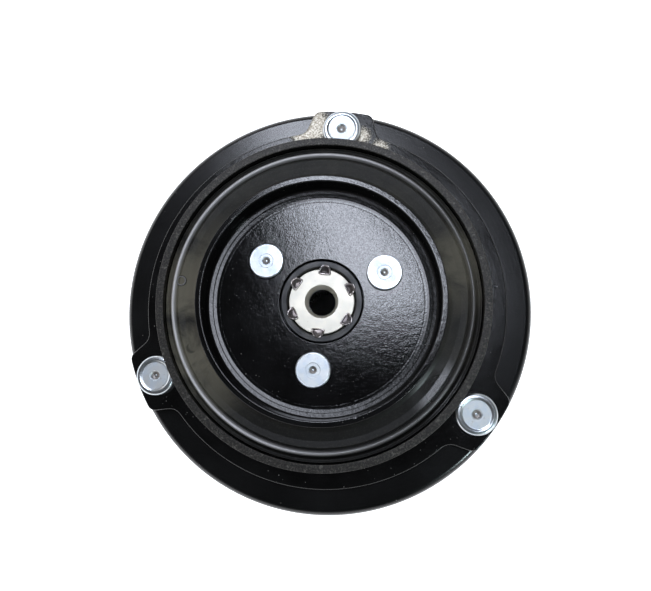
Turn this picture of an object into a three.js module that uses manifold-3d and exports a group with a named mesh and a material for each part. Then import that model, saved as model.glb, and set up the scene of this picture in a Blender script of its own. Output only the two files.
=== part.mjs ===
// Electromagnetic clutch of an air-conditioning compressor: a belt pulley on its own bearing,
// a magnet coil behind it, and in front a steel armature plate carried by a rubber-damped hub.
// Millimetres. +Z runs along the axis towards the hub's face, and Z = 0 is the coil plate's rear.
import * as THREE from "three";
import { mergeVertices } from "three/addons/utils/BufferGeometryUtils.js";
import Module from "manifold-3d";

const wasm = await Module();
wasm.setup();

// ---- driving dimensions ----
const ROUND = 40; // sides of the large round pieces
const FINE_ROUND = 28; // sides of the bearing's and the hub's round pieces
const SMALL_ROUND = 10; // sides of rivets and pin holes
const SLOT_STEPS = 4; // straight steps along one side of a curved slot
const FIT = 0.1; // clearance between pieces pressed, bonded or riveted together
const MERGE_TOL = 1e-4; // points closer than this are one corner
const OVERCUT = 1; // how far a cutting solid runs past the face that it opens

const EARS = 3; // rivet ears of the outer ring, and inner rivets of the cup
const FIRST_EAR_DEG = 83.5;
const FIRST_INNER_RIVET_DEG = 23.5;
const STAKES = 6;

// levels along the axis, from the rear to the front
const COIL_PLATE_T = 2.5;
const PULLEY_REAR_Z = 4.8;
const BEARING_REAR_Z = 6;
const BEARING_W = 20;
const FRICTION_Z = 29;
const FRICTION_T = 4;
const AIR_GAP = 0.55;
const ARMATURE_T = 4.65;
const RING_T = 3.2;
const RIM_H = 9.2; // upstanding rim above the ring's flange
const CUP_FLOOR_T = 3;
const HUB_FLANGE_T = 4;
const CUP_DEPTH = 7.3;
const CUP_FLOOR_RISE = 3.5; // from the ring's flange to the cup's floor
const ARMATURE_REAR_Z = FRICTION_Z + AIR_GAP;
const ARMATURE_FRONT_Z = ARMATURE_REAR_Z + ARMATURE_T;
const RING_TOP_Z = ARMATURE_FRONT_Z + RING_T;
const RIM_TOP_Z = RING_TOP_Z + RIM_H;
const CUP_FLOOR_Z = RING_TOP_Z + CUP_FLOOR_RISE;
const CUP_REAR_Z = CUP_FLOOR_Z - CUP_FLOOR_T;
const CUP_RIM_Z = CUP_FLOOR_Z + CUP_DEPTH;
const HUB_REAR_Z = CUP_REAR_Z - HUB_FLANGE_T;
const BEARING_FRONT_Z = BEARING_REAR_Z + BEARING_W;

// radii
const ARMATURE_R = 60;
const ARMATURE_BORE_R = 28.5;
const EDGE_ROUND_R = 2;
const PULLEY_R = 59.2;
const ROTOR_R = 53.2;
const ROTOR_POCKET_R = 49.4;
const ROTOR_HUB_R = 29.6;
const BEARING_OD_R = 26;
const BEARING_BORE_R = 17.5;
const RING_FLANGE_R = 51.9;
const EAR_R = 58.6;
const EAR_TIP_HALF_W = 8.6;
const EAR_FOOT_HALF_W = 10.9;
const RIM_IN_R = 43.4;
const RIM_T = 2.1;
const CUP_WALL_R = 33.9;
const CUP_WALL_T = 1.7;
const CUP_HOLE_R = 11.95;
const OUTER_RIVET_PITCH_R = 52.2;
const INNER_RIVET_PITCH_R = 19.4;
const HUB_FLANGE_R = 26;
const COLLAR_R = 11.65;
const COLLAR_IN_R = 9.9;
const HUB_DISC_R = 9.3;
const SLEEVE_R = 8.6;
const SPLINE_R = 5.6;
const BOLT_HOLE_R = 3.65;

// ---- helpers ----
const rad = (deg) => (deg * Math.PI) / 180;

// A closed profile of [radius, z] points turned about Z. Points run anticlockwise or clockwise.
function turned(profile, sides = ROUND) {
  const area = profile.reduce((sum, [r, z], i) => {
    const [nextR, nextZ] = profile[(i + 1) % profile.length];
    return sum + r * nextZ - nextR * z;
  }, 0);
  const ordered = area > 0 ? [...profile] : [...profile].reverse();
  const afterAxis = ordered.findIndex(([r], i) => r === 0 && ordered.at(i - 1)[0] === 0);
  const loop =
    afterAxis >= 0
      ? [...ordered.slice(afterAxis), ...ordered.slice(0, afterAxis)]
      : [...ordered, ordered[0]];
  const points = loop.map(([r, z]) => new THREE.Vector2(r, z));
  return new THREE.LatheGeometry(points, sides).rotateX(Math.PI / 2);
}

function solid(geometry) {
  const bare = geometry.clone().deleteAttribute("normal").deleteAttribute("uv");
  const merged = mergeVertices(bare, MERGE_TOL);
  return new wasm.Manifold(
    new wasm.Mesh({
      numProp: 3,
      vertProperties: merged.attributes.position.array,
      triVerts: new Uint32Array(merged.index.array),
    }),
  );
}

function geometryOf(manifold) {
  const mesh = manifold.getMesh();
  const geometry = new THREE.BufferGeometry();
  geometry.setAttribute("position", new THREE.BufferAttribute(mesh.vertProperties, 3));
  geometry.setIndex(new THREE.BufferAttribute(mesh.triVerts, 1));
  geometry.computeVertexNormals();
  return geometry;
}

function cut(geometry, tools) {
  return geometryOf(tools.reduce((body, tool) => body.subtract(solid(tool)), solid(geometry)));
}

function joined(geometry, others) {
  return geometryOf(others.reduce((body, other) => body.add(solid(other)), solid(geometry)));
}

// A round bar along Z between two levels, at a polar place.
function bar(radius, lowZ, highZ, atR = 0, atDeg = 0, sides = SMALL_ROUND) {
  return new THREE.CylinderGeometry(radius, radius, highZ - lowZ, sides)
    .rotateX(Math.PI / 2)
    .translate(atR * Math.cos(rad(atDeg)), atR * Math.sin(rad(atDeg)), (lowZ + highZ) / 2);
}

// A round bar that cuts a hole right through between two levels.
function holeBar(radius, lowZ, highZ, atR, atDeg) {
  return bar(radius, lowZ - OVERCUT, highZ + OVERCUT, atR, atDeg);
}

// A curved slot with square ends, cut right through between two levels.
function arcSlot({ midR, width, fromDeg, toDeg, lowZ, highZ }) {
  const shape = new THREE.Shape();
  shape.absarc(0, 0, midR + width / 2, rad(fromDeg), rad(toDeg), false);
  shape.absarc(0, 0, midR - width / 2, rad(toDeg), rad(fromDeg), true);
  shape.closePath();
  const depth = highZ - lowZ + 2 * OVERCUT;
  const options = { depth, bevelEnabled: false, curveSegments: SLOT_STEPS };
  return new THREE.ExtrudeGeometry(shape, options).translate(0, 0, lowZ - OVERCUT);
}

function ring(inR, outR, lowZ, highZ, sides = ROUND) {
  return turned([[inR, lowZ], [outR, lowZ], [outR, highZ], [inR, highZ]], sides);
}

// Points of a circular arc in the profile plane.
function arc(centreR, centreZ, radius, fromDeg, toDeg, steps) {
  return Array.from({ length: steps + 1 }, (_, i) => {
    const t = rad(fromDeg + ((toDeg - fromDeg) * i) / steps);
    return [centreR + radius * Math.cos(t), centreZ + radius * Math.sin(t)];
  });
}

function spread(count, firstDeg) {
  return Array.from({ length: count }, (_, i) => firstDeg + (360 * i) / count);
}

const EAR_ANGLES = spread(EARS, FIRST_EAR_DEG);
const INNER_RIVET_ANGLES = spread(EARS, FIRST_INNER_RIVET_DEG);

// ---- finishes ----
const FINISHES = {
  black_coat: [0x101113, 0.35, 0.2],
  black_satin: [0x15161a, 0.5, 0.3],
  zinc: [0xc9ced4, 0.3, 1],
  dark_steel: [0x4a4a4c, 0.5, 0.9],
  bare_steel: [0x9a9a9c, 0.35, 1],
  bearing_steel: [0xb4b6ba, 0.2, 1],
  rubber: [0x1d1d1b, 0.8, 0],
  nylon: [0x2a2c30, 0.6, 0],
  copper: [0x8a4a24, 0.4, 0.9],
  epoxy: [0x16201a, 0.4, 0],
};

const clutch = new THREE.Group();

function add(name, finish, geometry, turnDeg = 0) {
  const [color, roughness, metalness] = FINISHES[finish];
  const material = new THREE.MeshStandardMaterial({ color, roughness, metalness });
  const mesh = new THREE.Mesh(geometry, material);
  mesh.name = name;
  mesh.rotation.z = rad(turnDeg);
  clutch.add(mesh);
}

// ---- armature: plate, outer ring and its rivets ----
const RIVET_HOLE_R = 2.5;
const RIVET_SHANK_R = 2.3;
const RIVET_FOOT_R = 3.6;
const RIVET_FOOT_T = 1;
const RIVET_SINK_D = 1.5; // depth of the sinks in the armature's rear that the outer rivets' feet lie in
const RIVET_FOOT_SETBACK = 0.4; // from the armature's rear face to a foot

function armaturePlate() {
  const slotR = 39.8;
  const slotW = 2.2;
  const slotHalfDeg = 46;
  const edgeSteps = 3;
  const edgeAt = [ARMATURE_R - EDGE_ROUND_R, ARMATURE_FRONT_Z - EDGE_ROUND_R];
  const edge = arc(...edgeAt, EDGE_ROUND_R, 0, 90, edgeSteps);
  const disc = turned([
    [ARMATURE_BORE_R, ARMATURE_REAR_Z],
    [ARMATURE_R, ARMATURE_REAR_Z],
    ...edge,
    [ARMATURE_BORE_R, ARMATURE_FRONT_Z],
  ]);
  const slots = EAR_ANGLES.map((deg) =>
    arcSlot({
      midR: slotR,
      width: slotW,
      fromDeg: deg - slotHalfDeg,
      toDeg: deg + slotHalfDeg,
      lowZ: ARMATURE_REAR_Z,
      highZ: ARMATURE_FRONT_Z,
    }),
  );
  const holes = EAR_ANGLES.map((deg) =>
    holeBar(RIVET_HOLE_R, ARMATURE_REAR_Z, ARMATURE_FRONT_Z, OUTER_RIVET_PITCH_R, deg),
  );
  const sinkR = RIVET_FOOT_R + FIT;
  const sinkTopZ = ARMATURE_REAR_Z + RIVET_SINK_D;
  const sinks = EAR_ANGLES.map((deg) =>
    bar(sinkR, ARMATURE_REAR_Z - OVERCUT, sinkTopZ, OUTER_RIVET_PITCH_R, deg),
  );
  return cut(disc, [...slots, ...holes, ...sinks]);
}

// Outline of the ring's flange: a circle with three rivet ears that narrow towards their tips.
function earedOutline() {
  const filletL = 2.2;
  const cornerL = 1.6;
  const footU = Math.sqrt(RING_FLANGE_R ** 2 - EAR_FOOT_HALF_W ** 2);
  const tipU = Math.sqrt(EAR_R ** 2 - EAR_TIP_HALF_W ** 2);
  const narrowing = (EAR_FOOT_HALF_W - EAR_TIP_HALF_W) / (tipU - footU);
  const halfWidthAt = (u) => EAR_FOOT_HALF_W - narrowing * (u - footU);
  const sideStartU = footU + filletL;
  const sideEndU = tipU - cornerL;
  const footTurn = Math.asin((EAR_FOOT_HALF_W + filletL) / RING_FLANGE_R);
  const tipTurn = Math.asin((EAR_TIP_HALF_W - cornerL) / EAR_R);
  const shape = new THREE.Shape();
  EAR_ANGLES.forEach((deg, i) => {
    const a = rad(deg);
    const at = (t, u) => [u * Math.cos(a) - t * Math.sin(a), u * Math.sin(a) + t * Math.cos(a)];
    const next = a + (2 * Math.PI) / EARS;
    const footStart = [RING_FLANGE_R * Math.cos(a - footTurn), RING_FLANGE_R * Math.sin(a - footTurn)];
    if (i === 0) shape.moveTo(...footStart);
    const sideStart = at(-halfWidthAt(sideStartU), sideStartU);
    shape.quadraticCurveTo(...at(-EAR_FOOT_HALF_W, footU), ...sideStart);
    shape.lineTo(...at(-halfWidthAt(sideEndU), sideEndU));
    const tipStart = [EAR_R * Math.cos(a - tipTurn), EAR_R * Math.sin(a - tipTurn)];
    shape.quadraticCurveTo(...at(-EAR_TIP_HALF_W, tipU), ...tipStart);
    shape.absarc(0, 0, EAR_R, a - tipTurn, a + tipTurn, false);
    shape.quadraticCurveTo(...at(EAR_TIP_HALF_W, tipU), ...at(halfWidthAt(sideEndU), sideEndU));
    shape.lineTo(...at(halfWidthAt(sideStartU), sideStartU));
    const footEnd = [RING_FLANGE_R * Math.cos(a + footTurn), RING_FLANGE_R * Math.sin(a + footTurn)];
    shape.quadraticCurveTo(...at(EAR_FOOT_HALF_W, footU), ...footEnd);
    shape.absarc(0, 0, RING_FLANGE_R, a + footTurn, next - footTurn, false);
  });
  return shape;
}

function outerRing() {
  const bendR = 1;
  const bendSteps = 2;
  const outlineSteps = 6;
  const rimOutR = RIM_IN_R + RIM_T;
  const flangeInR = rimOutR + bendR / 2;
  const shape = earedOutline();
  const hole = new THREE.Path();
  hole.absarc(0, 0, flangeInR, 0, 2 * Math.PI, true);
  shape.holes.push(hole);
  const options = { depth: RING_T, bevelEnabled: false, curveSegments: outlineSteps };
  const flange = new THREE.ExtrudeGeometry(shape, options).translate(0, 0, ARMATURE_FRONT_Z);
  const rim = turned([
    [RIM_IN_R, ARMATURE_FRONT_Z],
    [rimOutR + bendR, ARMATURE_FRONT_Z],
    ...arc(rimOutR + bendR, RING_TOP_Z + bendR, bendR, 270, 180, bendSteps),
    [rimOutR, RIM_TOP_Z],
    [RIM_IN_R, RIM_TOP_Z],
  ]);
  const holes = EAR_ANGLES.map((deg) =>
    holeBar(RIVET_HOLE_R, ARMATURE_FRONT_Z, RING_TOP_Z, OUTER_RIVET_PITCH_R, deg),
  );
  return cut(joined(flange, [rim]), holes);
}

// A rivet about its own axis: foot, shank and a round-shouldered head with a dimple in its flat.
function rivet({ footZ, footR, seatZ, headR, headH, flatR, shoulderH, dimpleR, dimpleD }) {
  const topZ = seatZ + headH;
  const shoulderBulge = 0.35;
  return turned(
    [
      [0, footZ],
      [footR, footZ],
      [footR, footZ + RIVET_FOOT_T],
      [RIVET_SHANK_R, footZ + RIVET_FOOT_T],
      [RIVET_SHANK_R, seatZ],
      [headR, seatZ],
      [headR, seatZ + shoulderH],
      [(headR + flatR) / 2 + shoulderBulge, topZ - shoulderBulge],
      [flatR, topZ],
      [dimpleR, topZ],
      [0, topZ - dimpleD],
    ],
    SMALL_ROUND,
  );
}

function outerRivet() {
  return rivet({
    footZ: ARMATURE_REAR_Z + RIVET_FOOT_SETBACK,
    footR: RIVET_FOOT_R,
    seatZ: RING_TOP_Z,
    headR: 5.6,
    headH: 2.1,
    flatR: 3.8,
    shoulderH: 1.1,
    dimpleR: 1.4,
    dimpleD: 0.6,
  });
}

// ---- rubber between the outer ring and the cup ----
function rubberDamper() {
  const inR = CUP_WALL_R + FIT;
  const outR = RIM_IN_R - FIT;
  const rearZ = CUP_REAR_Z + 1;
  const bandZ = RIM_TOP_Z - 0.9;
  const grooveZ = bandZ - 1.4;
  const grooveR = outR - 1;
  const crestR = outR - 2.5;
  const crestH = 0.5;
  const crestHalfW = 0.8;
  const lipH = 0.4;
  const lipW = 1;
  return turned([
    [inR, rearZ],
    [outR, rearZ],
    [outR, grooveZ + crestH],
    [grooveR, grooveZ],
    [crestR + crestHalfW, bandZ],
    [crestR, bandZ + crestH],
    [crestR - crestHalfW, bandZ],
    [inR + lipW, bandZ],
    [inR, bandZ + lipH],
  ]);
}

// ---- hub: stamped cup, forged hub, bolt disc, rivets and shims ----
function damperCup() {
  const wallInR = CUP_WALL_R - CUP_WALL_T;
  // two sloping bands with a small step between them lead from the floor up to the wall
  const bandsInR = 29.15;
  const stepR = 30.95;
  const bandsOutR = 32;
  const stepLowH = 0.27;
  const stepHighH = 0.5;
  const bandsH = 0.7;
  const wallFootH = 1.1;
  const cornerR = 2;
  const cornerSteps = 2;
  const cup = turned([
    [CUP_HOLE_R, CUP_REAR_Z],
    ...arc(CUP_WALL_R - cornerR, CUP_REAR_Z + cornerR, cornerR, 270, 360, cornerSteps),
    [CUP_WALL_R, CUP_RIM_Z],
    [wallInR, CUP_RIM_Z],
    [wallInR, CUP_FLOOR_Z + wallFootH],
    [bandsOutR, CUP_FLOOR_Z + bandsH],
    [stepR, CUP_FLOOR_Z + stepHighH],
    [stepR - FIT, CUP_FLOOR_Z + stepLowH],
    [bandsInR, CUP_FLOOR_Z],
    [CUP_HOLE_R, CUP_FLOOR_Z],
  ]);
  const holes = INNER_RIVET_ANGLES.map((deg) =>
    holeBar(RIVET_HOLE_R, CUP_REAR_Z, CUP_FLOOR_Z, INNER_RIVET_PITCH_R, deg),
  );
  return cut(cup, holes);
}

const COLLAR_DROP = 0.5; // from the cup's floor to the collar's face
const DISC_DROP = 0.8; // from the collar's face to the disc's
const DISC_T = 3;
const COLLAR_Z = CUP_FLOOR_Z - COLLAR_DROP;
const DISC_Z = COLLAR_Z - DISC_DROP;
const DISC_REAR_Z = DISC_Z - DISC_T;
const SLEEVE_REAR_Z = 19;

// Forged hub: flange under the cup's floor, collar through it, and a splined sleeve to the rear.
function hub() {
  const collarChamfer = 0.3;
  const body = turned(
    [
      [SPLINE_R, SLEEVE_REAR_Z],
      [SLEEVE_R, SLEEVE_REAR_Z],
      [SLEEVE_R, HUB_REAR_Z],
      [HUB_FLANGE_R, HUB_REAR_Z],
      [HUB_FLANGE_R, CUP_REAR_Z],
      [COLLAR_R, CUP_REAR_Z],
      [COLLAR_R, COLLAR_Z - collarChamfer],
      [COLLAR_R - collarChamfer, COLLAR_Z],
      [COLLAR_IN_R, COLLAR_Z],
      [COLLAR_IN_R, DISC_REAR_Z],
      [SPLINE_R, DISC_REAR_Z],
    ],
    FINE_ROUND,
  );
  const holes = INNER_RIVET_ANGLES.map((deg) =>
    holeBar(RIVET_HOLE_R, HUB_REAR_Z, CUP_REAR_Z, INNER_RIVET_PITCH_R, deg),
  );
  const stakeInR = 8.4;
  const stakeOutR = COLLAR_R - 1;
  const stakeW = 3.2;
  const stakeT = 0.4;
  const stakeLift = 0.05; // from the disc's face to the stake's underside
  const stakes = spread(STAKES, FIRST_INNER_RIVET_DEG).map((deg) =>
    new THREE.BoxGeometry(stakeOutR - stakeInR, stakeW, stakeT)
      .translate((stakeOutR + stakeInR) / 2, 0, DISC_Z + stakeLift + stakeT / 2)
      .rotateZ(rad(deg)),
  );
  const teethCount = 12;
  const toothH = 0.6;
  const toothW = 1;
  const toothL = 14;
  const toothRearZ = SLEEVE_REAR_Z + 1;
  const teeth = spread(teethCount, 0).map((deg) =>
    new THREE.BoxGeometry(2 * toothH, toothW, toothL)
      .translate(SPLINE_R, 0, toothRearZ + toothL / 2)
      .rotateZ(rad(deg)),
  );
  return joined(cut(body, holes), [...stakes, ...teeth]);
}

function hubDisc() {
  const chamferR = 4.8;
  const chamferD = 1;
  const seatR = 7.9;
  const seatH = 0.15;
  return turned(
    [
      [BOLT_HOLE_R, DISC_REAR_Z],
      [HUB_DISC_R, DISC_REAR_Z],
      [HUB_DISC_R, DISC_Z],
      [seatR + seatH, DISC_Z],
      [seatR, DISC_Z + seatH],
      [chamferR, DISC_Z + seatH],
      [BOLT_HOLE_R, DISC_Z - chamferD],
    ],
    FINE_ROUND,
  );
}

function innerRivet() {
  return rivet({
    footZ: HUB_REAR_Z - RIVET_FOOT_T,
    footR: 4.2,
    seatZ: CUP_FLOOR_Z,
    headR: 5,
    headH: 1.2,
    flatR: 4.5,
    shoulderH: 0.7,
    dimpleR: 1.1,
    dimpleD: 0.5,
  });
}

const THICK_SHIM_T = 0.6;
const THIN_SHIM_T = 0.3;
const SHIM_OUT_R = SPLINE_R - 0.3;
const SHIM_IN_R = 3.9;

function thickShim() {
  return ring(SHIM_IN_R, SHIM_OUT_R, DISC_REAR_Z - THICK_SHIM_T, DISC_REAR_Z, FINE_ROUND);
}

function thinShim() {
  const frontZ = DISC_REAR_Z - THICK_SHIM_T;
  return ring(SHIM_IN_R, SHIM_OUT_R, frontZ - THIN_SHIM_T, frontZ, FINE_ROUND);
}

// ---- pulley: grooved rim, rotor and the turning pieces of the bearing ----
const GROOVES = 6;
const GROOVE_PITCH = 3.56;
const GROOVE_D = 2.8;

function pulleyRim() {
  const ribTopHalfW = 0.55;
  const firstZ = (PULLEY_REAR_Z + FRICTION_Z) / 2 - ((GROOVES - 1) / 2) * GROOVE_PITCH;
  const grooves = Array.from({ length: GROOVES }, (_, i) => {
    const z = firstZ + i * GROOVE_PITCH;
    const mouthHalfW = GROOVE_PITCH / 2 - ribTopHalfW;
    return [
      [PULLEY_R, z - mouthHalfW],
      [PULLEY_R - GROOVE_D, z],
      [PULLEY_R, z + mouthHalfW],
    ];
  }).flat();
  return turned([
    [ROTOR_R, PULLEY_REAR_Z],
    [PULLEY_R, PULLEY_REAR_Z],
    ...grooves,
    [PULLEY_R, FRICTION_Z],
    [ROTOR_R, FRICTION_Z],
  ]);
}

const SNAP_RING_INSET = 1.2;
const SNAP_GROOVE_R = BEARING_OD_R + SNAP_RING_INSET;
const SNAP_GROOVE_W = 1.4;

function rotor() {
  const lipW = 1.4;
  const lipR = BEARING_OD_R - lipW;
  const webZ = FRICTION_Z - FRICTION_T;
  const body = turned([
    [lipR, PULLEY_REAR_Z],
    [ROTOR_HUB_R, PULLEY_REAR_Z],
    [ROTOR_HUB_R, webZ],
    [ROTOR_POCKET_R, webZ],
    [ROTOR_POCKET_R, PULLEY_REAR_Z],
    [ROTOR_R, PULLEY_REAR_Z],
    [ROTOR_R, FRICTION_Z],
    [BEARING_OD_R, FRICTION_Z],
    [BEARING_OD_R, BEARING_FRONT_Z + SNAP_GROOVE_W],
    [SNAP_GROOVE_R, BEARING_FRONT_Z + SNAP_GROOVE_W],
    [SNAP_GROOVE_R, BEARING_FRONT_Z],
    [BEARING_OD_R, BEARING_FRONT_Z],
    [BEARING_OD_R, BEARING_REAR_Z],
    [lipR, BEARING_REAR_Z],
  ]);
  const slotW = 2.2;
  const rowR = [34.2, 45.4];
  const slotsInRow = 4;
  const slotDeg = 360 / slotsInRow;
  const bridgeDeg = 12;
  const slots = rowR.flatMap((midR, row) =>
    spread(slotsInRow, (row * slotDeg) / 2).map((deg) =>
      arcSlot({
        midR,
        width: slotW,
        fromDeg: deg + bridgeDeg / 2,
        toDeg: deg + slotDeg - bridgeDeg / 2,
        lowZ: webZ,
        highZ: FRICTION_Z,
      }),
    ),
  );
  return cut(body, slots);
}

// Double-row ball bearing.
const BALL_R = 2.6;
const BALLS = 12;
const BALL_PITCH_R = (BEARING_BORE_R + BEARING_OD_R) / 2;
const BALL_CLEARANCE = 0.2;
const RACEWAY_R = BALL_R + BALL_CLEARANCE;
const RACEWAY_STEPS = 3;
const ROW_INSET = 5.4; // from a race's end to the nearer row of balls
const ROW_Z = [BEARING_REAR_Z + ROW_INSET, BEARING_FRONT_Z - ROW_INSET];
const OUTER_LAND_R = 23.3;
const INNER_LAND_R = 20.2;
const CAGE_T = 1.2;
const CAGE_W = 3.4;
const SEAL_T = 1;
const SEAL_INSET = 0.4;
const SEAL_LIP_GAP = 0.4;

// Raceway grooves as profile arcs from the rear to the front, in the outer and the inner race.
function outerRaceway(rowZ) {
  const turn = (Math.acos((OUTER_LAND_R - BALL_PITCH_R) / RACEWAY_R) * 180) / Math.PI;
  return arc(BALL_PITCH_R, rowZ, RACEWAY_R, -turn, turn, RACEWAY_STEPS);
}

function innerRaceway(rowZ) {
  const turn = (Math.acos((BALL_PITCH_R - INNER_LAND_R) / RACEWAY_R) * 180) / Math.PI;
  return arc(BALL_PITCH_R, rowZ, RACEWAY_R, 180 + turn, 180 - turn, RACEWAY_STEPS);
}

function bearingOuterRace() {
  return turned([
    [OUTER_LAND_R, BEARING_REAR_Z],
    ...ROW_Z.flatMap((z) => outerRaceway(z)),
    [OUTER_LAND_R, BEARING_FRONT_Z],
    [BEARING_OD_R, BEARING_FRONT_Z],
    [BEARING_OD_R, BEARING_REAR_Z],
  ]);
}

function bearingInnerRace() {
  return turned(
    [
      [INNER_LAND_R, BEARING_REAR_Z],
      ...ROW_Z.flatMap((z) => innerRaceway(z)),
      [INNER_LAND_R, BEARING_FRONT_Z],
      [BEARING_BORE_R, BEARING_FRONT_Z],
      [BEARING_BORE_R, BEARING_REAR_Z],
    ],
    FINE_ROUND,
  );
}

function ballCage(rowZ) {
  const inR = BALL_PITCH_R - CAGE_T / 2;
  const outR = BALL_PITCH_R + CAGE_T / 2;
  const cage = ring(inR, outR, rowZ - CAGE_W / 2, rowZ + CAGE_W / 2, FINE_ROUND);
  const ballSides = 6;
  const ballSteps = 4;
  const balls = spread(BALLS, 0).map((deg) =>
    new THREE.SphereGeometry(BALL_R, ballSides, ballSteps)
      .translate(BALL_PITCH_R, 0, 0)
      .rotateZ(rad(deg))
      .translate(0, 0, rowZ),
  );
  return joined(cage, balls);
}

function bearingSeal(lowZ) {
  return ring(INNER_LAND_R + SEAL_LIP_GAP, OUTER_LAND_R - FIT, lowZ, lowZ + SEAL_T, FINE_ROUND);
}

// A split ring: an open circle of square wire with two eyed lugs at its gap.
const LUG_R = 1.6;
const LUG_SETBACK_DEG = 4;
const EYE_SIDES = 6;
const CIRCLIP_STEPS = 14;

function circlip({ inR, outR, lowZ, highZ, gapDeg, lugsInside }) {
  const shape = new THREE.Shape();
  const from = rad(gapDeg / 2);
  const to = 2 * Math.PI - from;
  shape.absarc(0, 0, outR, from, to, false);
  shape.absarc(0, 0, inR, to, from, true);
  shape.closePath();
  const options = { depth: highZ - lowZ, bevelEnabled: false, curveSegments: CIRCLIP_STEPS };
  const wire = new THREE.ExtrudeGeometry(shape, options).translate(0, 0, lowZ);
  const lugAt = lugsInside ? inR - LUG_R / 2 : outR + LUG_R / 2;
  const lugTurn = gapDeg / 2 + LUG_SETBACK_DEG;
  const lugs = [lugTurn, -lugTurn].map((deg) => bar(LUG_R, lowZ, highZ, lugAt, deg));
  const eyes = [lugTurn, -lugTurn].map((deg) =>
    bar(LUG_R / 2, lowZ - OVERCUT, highZ + OVERCUT, lugAt, deg, EYE_SIDES),
  );
  return cut(joined(wire, lugs), eyes);
}

function bearingSnapRing() {
  return circlip({
    inR: BEARING_OD_R - SNAP_RING_INSET,
    outR: SNAP_GROOVE_R - FIT,
    lowZ: BEARING_FRONT_Z + FIT,
    highZ: BEARING_FRONT_Z + SNAP_GROOVE_W - FIT,
    gapDeg: 24,
    lugsInside: true,
  });
}

function noseCirclip() {
  return circlip({
    inR: BEARING_BORE_R - 0.9,
    outR: BEARING_BORE_R + 1.6,
    lowZ: BEARING_FRONT_Z,
    highZ: BEARING_FRONT_Z + 1.4,
    gapDeg: 20,
    lugsInside: false,
  });
}

// ---- magnet coil: steel shell on its mounting plate, bobbin, winding and potting ----
const COIL_IN_R = 30.4;
const COIL_OUT_R = 48.6;
const SHELL_T = 2.2;
const SHELL_FRONT_Z = 24.3;
const PLATE_IN_R = 22;
const PLATE_OUT_R = 50.5;
const PLATE_FEATURE_R = 26.5; // where the plate's locating hole and windows lie
const BOBBIN_GAP = 0.4;
const BOBBIN_T = 1;
const POTTING_T = 1;
const WINDING_SETBACK = 0.6; // from the bobbin's flange edge to the outermost turns
const LEAD_DEG = 150;
const GROMMET_W = 8;
const GROMMET_L = 5.6;

function coilHousing() {
  return turned([
    [COIL_IN_R, COIL_PLATE_T],
    [COIL_OUT_R, COIL_PLATE_T],
    [COIL_OUT_R, SHELL_FRONT_Z],
    [COIL_OUT_R - SHELL_T, SHELL_FRONT_Z],
    [COIL_OUT_R - SHELL_T, COIL_PLATE_T + SHELL_T],
    [COIL_IN_R + SHELL_T, COIL_PLATE_T + SHELL_T],
    [COIL_IN_R + SHELL_T, SHELL_FRONT_Z],
    [COIL_IN_R, SHELL_FRONT_Z],
  ]);
}

const BOBBIN_REAR_Z = COIL_PLATE_T + SHELL_T + BOBBIN_GAP;
const BOBBIN_FRONT_Z = SHELL_FRONT_Z - POTTING_T - FIT;
const BOBBIN_IN_R = COIL_IN_R + SHELL_T + BOBBIN_GAP;
const BOBBIN_OUT_R = COIL_OUT_R - SHELL_T - BOBBIN_GAP;

function coilBobbin() {
  return turned([
    [BOBBIN_IN_R, BOBBIN_REAR_Z],
    [BOBBIN_OUT_R, BOBBIN_REAR_Z],
    [BOBBIN_OUT_R, BOBBIN_REAR_Z + BOBBIN_T],
    [BOBBIN_IN_R + BOBBIN_T, BOBBIN_REAR_Z + BOBBIN_T],
    [BOBBIN_IN_R + BOBBIN_T, BOBBIN_FRONT_Z - BOBBIN_T],
    [BOBBIN_OUT_R, BOBBIN_FRONT_Z - BOBBIN_T],
    [BOBBIN_OUT_R, BOBBIN_FRONT_Z],
    [BOBBIN_IN_R, BOBBIN_FRONT_Z],
  ]);
}

function coilWinding() {
  const lowZ = BOBBIN_REAR_Z + BOBBIN_T + FIT;
  const highZ = BOBBIN_FRONT_Z - BOBBIN_T - FIT;
  return ring(BOBBIN_IN_R + BOBBIN_T + FIT, BOBBIN_OUT_R - WINDING_SETBACK, lowZ, highZ);
}

function coilPotting() {
  const inR = COIL_IN_R + SHELL_T + FIT;
  return ring(inR, COIL_OUT_R - SHELL_T - FIT, SHELL_FRONT_Z - POTTING_T, SHELL_FRONT_Z);
}

// Mounting plate with a locating hole, three relief windows and a notch for the lead's grommet.
function coilPlate() {
  const locatingHoleR = 2.6;
  const locatingDeg = 30;
  const windowCount = 3;
  const firstWindowDeg = 60;
  const windowHalfDeg = 14;
  const windowW = 3.2;
  const plate = ring(PLATE_IN_R, PLATE_OUT_R, 0, COIL_PLATE_T);
  const locatingHole = holeBar(locatingHoleR, 0, COIL_PLATE_T, PLATE_FEATURE_R, locatingDeg);
  const windows = spread(windowCount, firstWindowDeg).map((deg) =>
    arcSlot({
      midR: PLATE_FEATURE_R,
      width: windowW,
      fromDeg: deg - windowHalfDeg,
      toDeg: deg + windowHalfDeg,
      lowZ: 0,
      highZ: COIL_PLATE_T,
    }),
  );
  const notchClearance = 0.4;
  const notchD = GROMMET_L + notchClearance;
  const notchH = COIL_PLATE_T + 2 * OVERCUT;
  const notch = new THREE.BoxGeometry(2 * notchD, GROMMET_W + 2 * FIT, notchH)
    .translate(PLATE_OUT_R, 0, COIL_PLATE_T / 2)
    .rotateZ(rad(LEAD_DEG));
  return cut(plate, [locatingHole, ...windows, notch]);
}

function coilCirclip() {
  return circlip({
    inR: PLATE_IN_R - 0.9,
    outR: PLATE_IN_R + 1.2,
    lowZ: COIL_PLATE_T,
    highZ: COIL_PLATE_T + 1.3,
    gapDeg: 20,
    lugsInside: false,
  });
}

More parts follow.
